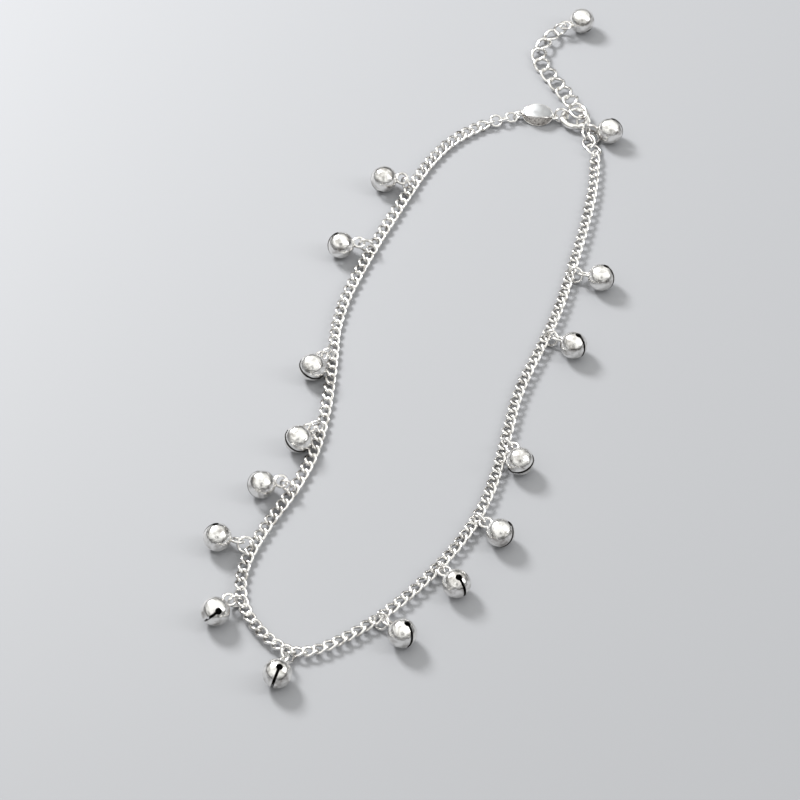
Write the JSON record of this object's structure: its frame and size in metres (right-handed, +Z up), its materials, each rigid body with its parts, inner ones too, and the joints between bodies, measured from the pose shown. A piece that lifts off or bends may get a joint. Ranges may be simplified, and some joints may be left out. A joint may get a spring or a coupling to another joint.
{
  "type": "charm anklet",
  "caption": "Silver ankle chain hung with round jingle bells on jump rings, closed by a spring ring clasp beside a small almond-shaped tag, with an extender tail",
  "frame": {"origin": "middle of the laid-out anklet's box, on the surface it lies on", "axes": "+Z up; the long way of the laid loop and its tail runs along Y, with the clasp and the tail at +Y"},
  "size_m": [0.0616, 0.1346, 0.004],
  "materials": {
    "chain": "polished silver curb links",
    "links": "polished silver wire",
    "bells": "polished silver, darkened in the slits",
    "tag": "polished silver, satin on its faces",
    "clasp": "polished silver"
  },
  "bodies": {
    "anklet": {"bell_01": "bells", "bell_02": "bells", "bell_03": "bells", "bell_04": "bells", "bell_05": "bells", "bell_06": "bells", "bell_07": "bells", "bell_08": "bells", "bell_09": "bells", "bell_10": "bells", "bell_11": "bells", "bell_12": "bells", "bell_13": "bells", "bell_14": "bells", "bell_15": "bells", "bell_16": "bells", "chain": "chain", "chain_link_1": "links", "chain_link_2": "links", "chain_link_3": "links", "clasp": "clasp", "clasp_link": "links", "end_ring": "links", "extender": "chain", "jump_ring_01": "links", "jump_ring_02": "links", "jump_ring_03": "links", "jump_ring_04": "links", "jump_ring_05": "links", "jump_ring_06": "links", "jump_ring_07": "links", "jump_ring_08": "links", "jump_ring_09": "links", "jump_ring_10": "links", "jump_ring_11": "links", "jump_ring_12": "links", "jump_ring_13": "links", "jump_ring_14": "links", "jump_ring_15": "links", "jump_ring_16": "links", "tag": "tag", "tag_link_1": "links", "tag_link_2": "links", "tag_link_3": "links", "tag_link_4": "links"},
    "trigger": {"trigger": "clasp"}
  },
  "joints": [
    {"name": "trigger_turn", "type": "hinge", "parent": "anklet", "child": "trigger", "pos_m": [0.0233, 0.04385, 0.00092], "axis": [0, 0, -1], "range_deg": [0, 60], "stiffness_Nm_per_rad": 0.002, "springref_deg": -34.38}
  ]
}
